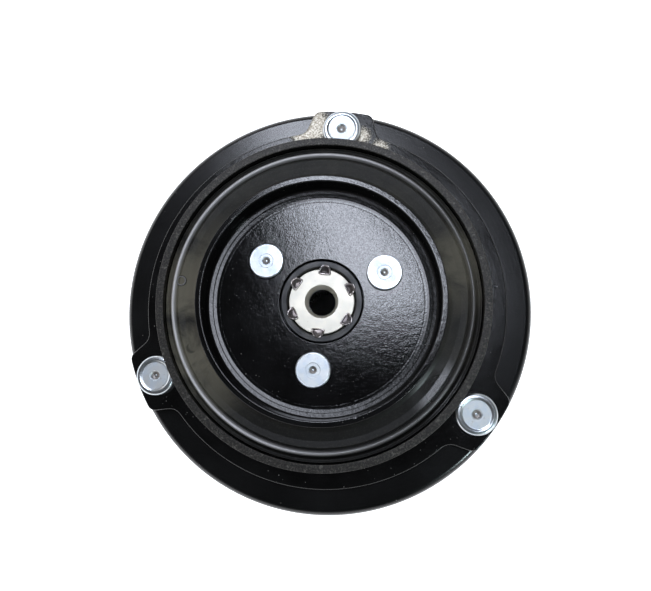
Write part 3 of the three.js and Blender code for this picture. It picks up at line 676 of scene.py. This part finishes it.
def ear_outline():
    """The flange's edge: a circle with three rivet ears that narrow towards their tips, anticlockwise."""
    fillet, corner = 2.2, 1.6
    tip_steps, rim_steps = 8, 64
    base = math.sqrt(FLANGE_R ** 2 - EAR_FOOT_HALF_W ** 2)
    tip = math.sqrt(EAR_R ** 2 - EAR_TIP_HALF_W ** 2)
    narrowing = (EAR_FOOT_HALF_W - EAR_TIP_HALF_W) / (tip - base)
    foot_turn = math.asin((EAR_FOOT_HALF_W + fillet) / FLANGE_R)
    tip_turn = math.asin((EAR_TIP_HALF_W - corner) / EAR_R)
    side_start, side_end = base + fillet, tip - corner
    points = []
    for angle in EAR_ANGLES:
        along, across = directions(angle)

        def side(sign, u):
            half_w = EAR_FOOT_HALF_W - narrowing * (u - base)
            return across * sign * half_w + along * u

        foot = polar(FLANGE_R, angle - foot_turn)
        points.append(foot)
        points += bend(foot, side(-1, base), side(-1, side_start))
        side_top = side(-1, side_end)
        points.append(side_top)
        points += bend(side_top, side(-1, tip), polar(EAR_R, angle - tip_turn))
        points += [polar(EAR_R, angle + tip_turn * k / tip_steps) for k in range(1 - tip_steps, tip_steps)]
        tip_end = polar(EAR_R, angle + tip_turn)
        points.append(tip_end)
        points += bend(tip_end, side(1, tip), side(1, side_end))
        side_base = side(1, side_start)
        points.append(side_base)
        points += bend(side_base, side(1, base), polar(FLANGE_R, angle + foot_turn))
        first = angle + foot_turn
        sweep = THIRD_TURN - 2 * foot_turn
        points += [polar(FLANGE_R, first + sweep * k / rim_steps) for k in range(1, rim_steps)]
    return points


def inset(points, distance):
    """The outline moved inwards along its own normals."""
    out = []
    for i, here in enumerate(points):
        run = (points[(i + 1) % len(points)] - points[i - 1]).normalized()
        out.append(here + Vector((-run.y, run.x, 0)) * distance)
    return out


def outer_ring():
    """The ring's outline with its ears, then the rim that stands up on it, as one skin."""
    outline = ear_outline()
    angles = [math.atan2(p.y, p.x) for p in outline]
    edge = 0.4  # radius along the outline
    cut = 0.45  # how far the bare cut edge reaches down the rim

    def lifted(points, z):
        return [Vector((p.x, p.y, z)) for p in points]

    loops = [(lifted(outline, RING_REAR + 0.2), 0.0)]
    loops.append((lifted(outline, RING_TOP - edge - SUPPORT), 0.0))
    for k in range(ARC_STEPS + 1):
        t = math.pi / 2 * k / ARC_STEPS
        edge_line = inset(outline, edge * (1 - math.cos(t)))
        loops.append((lifted(edge_line, RING_TOP - edge * (1 - math.sin(t))), 0.42))
    loops.append((lifted(inset(outline, edge + SUPPORT), RING_TOP), 0.0))
    stem = rounded([
        (RING_TOP, RING_TOP),
        (RIM_OUT_R + 1.6, RING_TOP),
        (RIM_OUT_R, RING_TOP, 1.0),
        (RIM_OUT_R, RIM_TOP - cut),
        (RIM_OUT_R, RIM_TOP, 0.3, 1.0),
        (RIM_IN_R, RIM_TOP, 0.2, 1.0),
        (RIM_IN_R, RIM_TOP - cut),
        (RIM_IN_R, RING_REAR),
    ])[1:]
    for r, z, bare in stem:
        loops.append(([polar(r, a, z) for a in angles], bare))
    loops.append((lifted(inset(outline, 0.2), RING_REAR), 0.0))
    bm = bmesh.new()
    loft(bm, loops)
    put(mesh_object("ring_with_ears", bm, RING_COAT), "outer_ring", "armature")


def outer_rivets():
    """Upset heads: a bright rounded side, a satin face and a dimple darkened as painted shade, with a point
    in it.
    """
    tail, shank, foot, face = 3.6, 2.3, 5.35, 3.95
    for i in range(EARS):
        node = f"outer_rivet_{i + 1}"
        low, high, _ = span(node)
        at = centre(node) / MM
        profile = [
            (0, low),
            (tail, low, 0.2),
            (tail, low + 1, 0.1),
            (shank, low + 1),
            (shank, RING_TOP),
            (foot, RING_TOP, 0.1),
            (foot + 0.45, RING_TOP + 0.95, 0.9),
            (foot + 0.1, high - 0.1, 0.9),
            (face + 0.5, high, 0.5),
            (face, high - 0.22, 0.25, 0.1),
            (face - 0.25, high - 0.26, 0.1, 0.5),
            (1.5, high - 0.26, 0.15, 0.5),
            (0.95, high - 0.7, 0.15, 1.0),
            (0.4, high - 0.85, 0.1, 1.0),
            (0.28, high - 0.72, 0.05, 0.2),
            (0, high - 0.66, 0, 0.2),
        ]
        piece = turned(f"outer_rivet_head_{i + 1}", profile, ZINC, SMALL_SIDES, (at.x, at.y))
        put(piece, node, "armature")


# ---- rubber ----
def gate_mark():
    """Loops of a thin raised circle on the rubber's front face."""
    mark_r, wire, wire_sides, sides = 1.2, 0.17, 12, 48
    place = polar(MARK_R, MARK_ANGLE)
    loops = []
    for k in range(wire_sides):
        t = math.tau * k / wire_sides
        r, z = mark_r + wire * math.cos(t), BEAD_TOP - 0.52 + wire * math.sin(t)
        loops.append(([polar(r, math.tau * i / sides, z) + place for i in range(sides)], 0.3))
    return loops


def rubber_damper():
    """A ring with a crested bead near the rim; bareness marks the crest, which is glossy and carries a
    painted highlight.
    """
    crest = 40.75
    bond_r = CUP_R + 0.06
    bm = bmesh.new()
    turned_into(bm, [
        (bond_r, RUBBER_REAR, 0.2),
        (RUBBER_R, RUBBER_REAR, 0.2),
        (RUBBER_R, BEAD_TOP - 1.4, 0.2),
        (42.5, BEAD_TOP - 2.0, 0.4),
        (41.75, BEAD_TOP - 1.5, 0.4),
        (crest + 0.55, BEAD_TOP - 0.3, 0.35, 0.3),
        (crest, BEAD_TOP, 0.3, 1.0),
        (crest - 0.5, BEAD_TOP - 0.3, 0.2, 0.3),
        (crest - 0.95, BEAD_TOP - 0.85, 0.12),
        (crest - 1.4, BEAD_TOP - 0.42, 0.25),
        (37.6, BEAD_TOP - 0.72, 1.5),
        (35.3, BEAD_TOP - 0.6, 0.6),
        (bond_r, BEAD_TOP - 0.15, 0.2),
    ], SIDES)
    loft(bm, gate_mark())
    put(mesh_object("rubber_ring", bm, RUBBER), "rubber_damper", "rubber")


# ---- hub ----
def damper_cup():
    """The stamped cup, with two fine sloping bands and a shallow groove in its corner."""
    put(turned("cup_pressing", [
        (CUP_HOLE_R, CUP_REAR, 0.2),
        (CUP_R, CUP_REAR, 2.0),
        (CUP_R, CUP_TOP - 0.6),
        (CUP_R, CUP_TOP, 0.3, 0.2),
        (CUP_IN_R, CUP_TOP, 0.3, 0.3),
        (CUP_IN_R, CUP_TOP - 0.6),
        (CUP_IN_R, CUP_FLOOR + 1.1, 0.5),
        (32.1, CUP_FLOOR + 0.57, 0.3),
        (30.95, CUP_FLOOR + 0.38, 0.12),
        (30.85, CUP_FLOOR + 0.15, 0.1),
        (29.95, CUP_FLOOR, 0.12),
        (29.0, CUP_FLOOR - 0.08, 0.05),
        (28.8, CUP_FLOOR - 0.08, 0.05),
        (28.65, CUP_FLOOR, 0.1),
        (CUP_HOLE_R, CUP_FLOOR, 0.12),
    ], BLACK_COAT), "damper_cup", "hub_unit")


def splined(radius, angle):
    """Twelve square teeth stand into the sleeve's bore."""
    teeth, half_tooth, height = 12, 0.5, 0.6
    if abs(radius - SPLINE_R) > 0.01:
        return radius
    pitch = math.tau / teeth
    off = abs((angle + pitch / 2) % pitch - pitch / 2) * radius
    return radius - height * max(0.0, min(1.0, (half_tooth + 0.1 - off) / 0.2))


def hub():
    """The forging: a splined sleeve, the flange that carries the cup, and the collar round the disc."""
    sleeve_r, flange_rear, flange_front = 8.6, 33.9, CUP_REAR - 0.02
    seat_r, seat = DISC_R + 0.03, DISC_REAR - 0.1
    bm = bmesh.new()
    turned_into(bm, [
        (SPLINE_R, HUB_REAR),
        (sleeve_r, HUB_REAR, 0.4),
        (sleeve_r, flange_rear, 0.8),
        (HUB_R, flange_rear, 0.3),
        (HUB_R, flange_front, 0.3),
        (COLLAR_R, flange_front, 0.2),
        (COLLAR_R, COLLAR_TOP, 0.35),
        # From the collar's top inner edge down to the disc seat, bareness darkens the gap round the disc as
        # painted shade.
        (COLLAR_IN_R, COLLAR_TOP, 0.2, 0.3),
        (COLLAR_IN_R - 0.25, COLLAR_TOP - 0.45, 0.08, 0.8),
        (seat_r, DISC_FACE - 0.25, 0.05, 1.0),
        (seat_r, seat),
        (SPLINE_R, seat),
    ], HUB_SIDES, radius_at=splined)
    put(mesh_object("hub_forging", bm, DARK_STEEL), "hub", "hub_unit")


def burr_outline(half_w, depth):
    """A D seen from above as (across, outward) points: an arch outwards and a straight side inwards."""
    steps = 40
    points = []
    for k in range(steps):
        t = math.tau * k / steps
        across, out = math.cos(t), math.sin(t)
        flat = 0.16 if out < 0 else 1.0
        points.append((half_w * across * (1 - 0.12 * min(out, 0)), depth * out * flat))
    return points


def stake(index, angle):
    """Metal of the collar peened over the disc: a D-shaped burr, arch outwards, round a dent darkened as
    painted shade.
    """
    draw = random.Random(SEED + index)
    half_w = 1.75 * draw.uniform(0.94, 1.06)
    depth = 2.2 * draw.uniform(0.94, 1.06)
    rise = draw.uniform(0.85, 1.15)
    lean = draw.uniform(-0.08, 0.08)
    inner = 8.12
    middle = 0.38 * depth
    disc_side = DISC_FACE + 0.32
    outline = burr_outline(half_w, depth)
    along, across = directions(angle)
    loops = []
    for scale, height, bare in (
        (0.0, -1.6, 0.0),
        (1.06, -1.6, 0.0),
        (1.10, -0.15, 0.0),
        (1.07, 0.12, 0.0),
        (1.02, 0.30, 0.0),
        (0.95, 0.40, 0.0),
        (0.87, 0.40, 0.0),
        (0.80, 0.28, 0.1),
        (0.74, 0.08, 0.5),
        (0.66, -0.06, 1.0),
        (0.40, -0.10, 1.0),
        (0.16, -0.16, 1.0),
        (0.0, -0.18, 1.0),
    ):
        row = []
        for v, u in outline:
            v, u = v * scale, middle + (u - middle) * scale
            wobble = noise.noise(Vector((u * 1.3, v * 1.3, index * 9.0)))
            ground = disc_side + (COLLAR_TOP - disc_side) * max(0.0, min(1.0, u / 1.6))
            lift = height * rise * (1 + 0.5 * wobble) if height > 0 else height
            swell = 1 + 0.05 * wobble * (height > 0)
            z = ground + lift + lean * v
            row.append(along * (inner + u * swell) + across * v * swell + Vector((0, 0, z)))
        loops.append((row, bare))
    bm = bmesh.new()
    loft(bm, loops)
    piece = mesh_object(f"stake_{index + 1}", bm, BURR_STEEL)
    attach(piece, "hub_unit")


def hub_disc():
    hole, chamfer, chamfer_depth = 3.9, 4.75, 2.0
    put(turned("bolt_disc", [
        (hole, DISC_REAR, 0.2),
        (DISC_R, DISC_REAR, 0.2),
        (DISC_R, DISC_TOP, 0.2),
        (chamfer, DISC_TOP, 0.12),
        (hole, DISC_TOP - chamfer_depth, 0.15),
    ], DISC_ZINC, DISC_SIDES), "hub_disc", "hub_unit")


def inner_rivets():
    """Flat satin heads with a shallow round step and a dimple darkened as painted shade, with a point in it.
    """
    tail, shank, foot, step_r = 4.2, 2.3, 4.9, 2.1
    for i in range(EARS):
        node = f"inner_rivet_{i + 1}"
        low, high, _ = span(node)
        at = centre(node) / MM
        profile = [
            (0, low),
            (tail, low, 0.3),
            (tail, low + 1, 0.1),
            (shank, low + 1),
            (shank, CUP_FLOOR),
            (foot, CUP_FLOOR, 0.1),
            (foot + 0.1, CUP_FLOOR + 0.8, 0.25),
            (foot - 0.12, high, 0.28),
            (foot - 0.5, high - 0.02, 0.1, 0.5),
            (step_r, high - 0.02, 0.1, 0.5),
            (step_r - 0.15, high - 0.09, 0.05, 0.5),
            (1.2, high - 0.09, 0.1, 0.5),
            (0.8, high - 0.42, 0.12, 1.0),
            (0.33, high - 0.62, 0.08, 1.0),
            (0.22, high - 0.5, 0.05, 0.2),
            (0, high - 0.46, 0, 0.2),
        ]
        piece = turned(f"inner_rivet_head_{i + 1}", profile, ZINC, SMALL_SIDES, (at.x, at.y))
        put(piece, node, "hub_unit")


# ---- pulley and bearing ----
def pulley():
    grooves, pitch, depth, rib_half = 6, 3.56, 2.8, 0.55
    _, _, rotor_r = span("rotor")
    first = (PULLEY_REAR + PULLEY_FRONT) / 2 - (grooves - 1) / 2 * pitch
    profile = [(rotor_r, PULLEY_REAR, 0.1), (PULLEY_R, PULLEY_REAR, 0.5)]
    for i in range(grooves):
        z = first + i * pitch
        half = pitch / 2 - rib_half
        profile += [
            (PULLEY_R, z - half, 0.3),
            (PULLEY_R - depth, z, 0.35),
            (PULLEY_R, z + half, 0.3),
        ]
    profile += [(PULLEY_R, PULLEY_FRONT, 0.5), (rotor_r, PULLEY_FRONT, 0.1)]
    put(turned("grooved_rim", profile, RIM_SATIN), "pulley_rim", "pulley")


def rotor():
    rear, front, rotor_r = span("rotor")
    bearing_rear, bearing_front, bearing_r = span("bearing_outer_race")
    lip, hub_r, pocket, web = bearing_r - 1.4, 29.6, 49.4, front - 4
    snap_r, snap_w = bearing_r + 1.2, 1.4
    piece = turned("rotor_casting", [
        (lip, rear, 0.2),
        (hub_r, rear, 0.4),
        (hub_r, web, 0.6),
        (pocket, web, 0.6),
        (pocket, rear, 0.4),
        (rotor_r, rear, 0.1),
        (rotor_r, front, 0.1),
        (bearing_r, front, 0.4),
        (bearing_r, bearing_front + snap_w),
        (snap_r, bearing_front + snap_w),
        (snap_r, bearing_front),
        (bearing_r, bearing_front),
        (bearing_r, bearing_rear),
        (lip, bearing_rear, 0.2),
    ], BARE_STEEL, DISC_SIDES)
    flux_slot_w, bridge, quarter = 2.2, math.radians(12), math.tau / 4
    tools = []
    for row, mid_r in enumerate((34.2, 45.4)):
        for k in range(4):
            start = row * quarter / 2 + k * quarter
            outline = slot_outline(mid_r, flux_slot_w, start + bridge / 2, start + quarter - bridge / 2)
            tools.append(prism_tool(outline, web - 1, front + 1, BARE_STEEL))
    cut_by(piece, tools)
    put(piece, "rotor", "pulley")


def bearing():
    rear, front, outer_r = span("bearing_outer_race")
    bore, land_in, land_out = 17.5, 20.2, 23.3
    put(turned("inner_race_ring", [
        (bore, rear, 0.4),
        (land_in, rear, 0.2),
        (land_in, front, 0.2),
        (bore, front, 0.4),
    ], BEARING_STEEL), "bearing_inner_race", "fixed_coil")
    put(turned("outer_race_ring", [
        (land_out, rear, 0.2),
        (outer_r, rear, 0.3),
        (outer_r, front, 0.3),
        (land_out, front, 0.2),
    ], BEARING_STEEL), "bearing_outer_race", "pulley")
    seal_in = 20.6
    for end in ("front", "rear"):
        node = f"bearing_seal_{end}"
        low, high, seal_r = span(node)
        middle = (seal_in + seal_r) / 2
        put(turned(f"seal_{end}", [
            (seal_in, low, 0.15),
            (middle - 0.5, low, 0.1),
            (middle - 0.35, low + 0.25, 0.1),
            (middle + 0.35, low + 0.25, 0.1),
            (middle + 0.5, low, 0.1),
            (seal_r, low, 0.15),
            (seal_r, high, 0.15),
            (seal_in, high, 0.15),
        ], SEAL_RUBBER), node, "pulley")


# ---- coil ----
def coil():
    shell, shell_front, coil_out = span("coil_housing")
    coil_in, wall = 30.4, 2.2
    put(turned("coil_shell", [
        (coil_in, shell, 0.3),
        (coil_out, shell, 0.8),
        (coil_out, shell_front, 0.3),
        (coil_out - wall, shell_front, 0.2),
        (coil_out - wall, shell + wall, 0.3),
        (coil_in + wall, shell + wall, 0.3),
        (coil_in + wall, shell_front, 0.2),
        (coil_in, shell_front, 0.3),
    ], RIM_SATIN), "coil_housing", "fixed_coil")
    plate_bore, window_r, window_w, pin_r = 22.0, 26.5, 3.2, 2.6
    plate = turned("mounting_plate", [
        (plate_bore, PLATE_REAR, 0.4),
        (PLATE_R, PLATE_REAR, 0.5),
        (PLATE_R, PLATE_FRONT, 0.4),
        (plate_bore, PLATE_FRONT, 0.3),
    ], RIM_SATIN, DISC_SIDES)
    low, high = PLATE_REAR - 1, PLATE_FRONT + 1
    half = math.radians(14)
    outlines = [hole_outline(pin_r, polar(window_r, math.radians(30)))]
    for k in range(3):
        middle = math.radians(60) + THIRD_TURN * k
        outlines.append(slot_outline(window_r, window_w, middle - half, middle + half))
    outlines.append(notch_outline())
    cut_by(plate, [prism_tool(outline, low, high, RIM_SATIN) for outline in outlines])
    put(plate, "coil_plate", "fixed_coil")


def notch_outline():
    """The notch in the coil plate's edge where the lead comes out."""
    depth, half_w = 6.0, 4.1
    along, across = directions(math.radians(150))
    corners = ((-1, -1), (1, -1), (1, 1), (-1, 1))
    return [along * (PLATE_R + out * depth) + across * side * half_w for out, side in corners]


def hidden_nodes():
    """Pieces inside the clutch keep their CAD shape and get a finish."""
    finishes = {
        "coil_bobbin": NYLON,
        "coil_winding": COPPER,
        "coil_potting": EPOXY,
        "coil_circlip": DARK_STEEL,
        "nose_circlip": DARK_STEEL,
        "bearing_snap_ring": DARK_STEEL,
        "lead_grommet": SEAL_RUBBER,
        "ball_cage_rear": BEARING_STEEL,
        "ball_cage_front": BEARING_STEEL,
        "adjusting_shim_thick": BARE_STEEL,
        "adjusting_shim_thin": BARE_STEEL,
    }
    for node, material in finishes.items():
        mesh = frame["nodes"][node].data
        mesh.materials.clear()
        mesh.materials.append(material)


# ---- studio ----
CAMERA_TARGET = Vector((0, 0, 32.2 * MM))
CAMERA_DISTANCE = 140.44 * MM
CAMERA_TILT = math.radians(8.47)
CAMERA_HEADING = math.radians(-58.02)
CAMERA_LENS = 25.965
CAMERA_SHIFT = (0.00297, 0.01427)


def camera():
    made = bpy.data.objects.new("camera", bpy.data.cameras.new("camera"))
    bpy.context.scene.collection.objects.link(made)
    back = Vector((
        math.sin(CAMERA_TILT) * math.cos(CAMERA_HEADING),
        math.sin(CAMERA_TILT) * math.sin(CAMERA_HEADING),
        math.cos(CAMERA_TILT),
    ))
    made.location = CAMERA_TARGET + back * CAMERA_DISTANCE
    right = Vector((0, 1, 0)).cross(back).normalized()
    upright = Matrix((right, back.cross(right), back)).transposed()
    made.rotation_mode = "QUATERNION"
    made.rotation_quaternion = upright.to_quaternion()
    made.data.lens = CAMERA_LENS
    made.data.shift_x, made.data.shift_y = CAMERA_SHIFT
    made.data.clip_start = 0.01
    bpy.context.scene.camera = made


def light_panel(name, corners, colour, strength):
    """A glowing panel that lights and reflects but that the camera doesn't see; its corners are in metres."""
    mesh = bpy.data.meshes.new(name)
    mesh.from_pydata([tuple(c) for c in corners], [], [tuple(range(len(corners)))])
    material = bpy.data.materials.new(name)
    material.use_nodes = True
    tree = material.node_tree
    tree.nodes.clear()
    glow = tree.nodes.new("ShaderNodeEmission")
    glow.inputs["Color"].default_value = (*colour, 1)
    glow.inputs["Strength"].default_value = strength
    out = tree.nodes.new("ShaderNodeOutputMaterial")
    tree.links.new(glow.outputs[0], out.inputs[0])
    mesh.materials.append(material)
    panel = bpy.data.objects.new(name, mesh)
    bpy.context.scene.collection.objects.link(panel)
    panel.visible_camera = False


def area_light(name, place, size, colour, power):
    """A round lamp that faces the camera's target."""
    data = bpy.data.lights.new(name, "AREA")
    data.shape = "DISK"
    data.size = size
    data.color = colour
    data.energy = power
    made = bpy.data.objects.new(name, data)
    bpy.context.scene.collection.objects.link(made)
    made.location = place
    made.rotation_mode = "QUATERNION"
    made.rotation_quaternion = (Vector(place) - CAMERA_TARGET).to_track_quat("Z", "Y")
    made.visible_camera = False


def lights():
    """A softbox high behind the clutch's upper side, and a small cool lamp low to the right, in metres."""
    softbox_height = 0.6
    softbox_plan = [(-0.034, 0.052), (0.168, 0.052), (-0.100, 0.445), (-0.170, 0.435)]
    corners = [Vector((x, y, softbox_height)) for x, y in softbox_plan]
    light_panel("softbox", corners, colour=(0.83, 0.88, 1.0), strength=14.8)
    lamp_place = polar(0.5, math.radians(-41), 0.45)
    area_light("side_lamp", lamp_place, size=0.08, colour=(0.8, 0.97, 1.0), power=0.8)


def world():
    """Dim overhead and pale towards the horizon, more so to the left."""
    made = bpy.data.worlds.new("studio")
    bpy.context.scene.world = made
    made.use_nodes = True
    tree = made.node_tree
    coords = tree.nodes.new("ShaderNodeTexCoord")
    parts = tree.nodes.new("ShaderNodeSeparateXYZ")
    tree.links.new(coords.outputs["Generated"], parts.inputs[0])

    def ramp(axis, first, last, kind):
        """A brightness that changes along an axis between two (place, brightness) ends."""
        change = tree.nodes.new("ShaderNodeMapRange")
        change.interpolation_type = kind
        tree.links.new(parts.outputs[axis], change.inputs["Value"])
        change.inputs["From Min"].default_value, change.inputs["To Min"].default_value = first
        change.inputs["From Max"].default_value, change.inputs["To Max"].default_value = last
        return change.outputs[0]

    upward = ramp("Z", (0.3, 1.5), (0.62, 0.04), "SMOOTHSTEP")
    rightward = ramp("X", (-0.9, 1.25), (0.9, 0.45), "LINEAR")
    total = tree.nodes.new("ShaderNodeMath")
    total.operation = "MULTIPLY"
    tree.links.new(upward, total.inputs[0])
    tree.links.new(rightward, total.inputs[1])
    back = tree.nodes["Background"]
    back.inputs["Color"].default_value = (0.97, 0.98, 1.0, 1)
    tree.links.new(total.outputs[0], back.inputs["Strength"])


def floor():
    """A pale disc that glows evenly outside the clutch's foot."""
    bm = bmesh.new()
    bmesh.ops.create_circle(bm, cap_ends=True, segments=96, radius=3.0)
    mesh = bpy.data.meshes.new("floor")
    bm.to_mesh(mesh)
    bm.free()
    f = Finish("floor")
    cloud = f.noise(0.2, 3)
    colour = f.mix(cloud, (0.86, 0.86, 0.86), (0.89, 0.89, 0.89))
    glow = f.math("MULTIPLY", f.step(f.radius(), PLATE_R * MM, PULLEY_R * MM), 0.9)
    f.drive(base_color=colour, roughness=f.blend(cloud, 0.7, 0.8), emission_strength=glow)
    f.shader.inputs["Emission Color"].default_value = (1, 1, 1, 1)
    mesh.materials.append(f.material)
    made = bpy.data.objects.new("floor", mesh)
    bpy.context.scene.collection.objects.link(made)
    made.location.z = cad_low.z


def build():
    armature_plate()
    outer_ring()
    outer_rivets()
    rubber_damper()
    damper_cup()
    hub()
    for i in range(STAKES):
        stake(i, FIRST_INNER_RIVET + math.tau * i / STAKES)
    hub_disc()
    inner_rivets()
    pulley()
    rotor()
    bearing()
    coil()
    hidden_nodes()
    camera()
    lights()
    world()
    floor()
    bpy.context.scene.view_settings.view_transform = "Standard"


build()
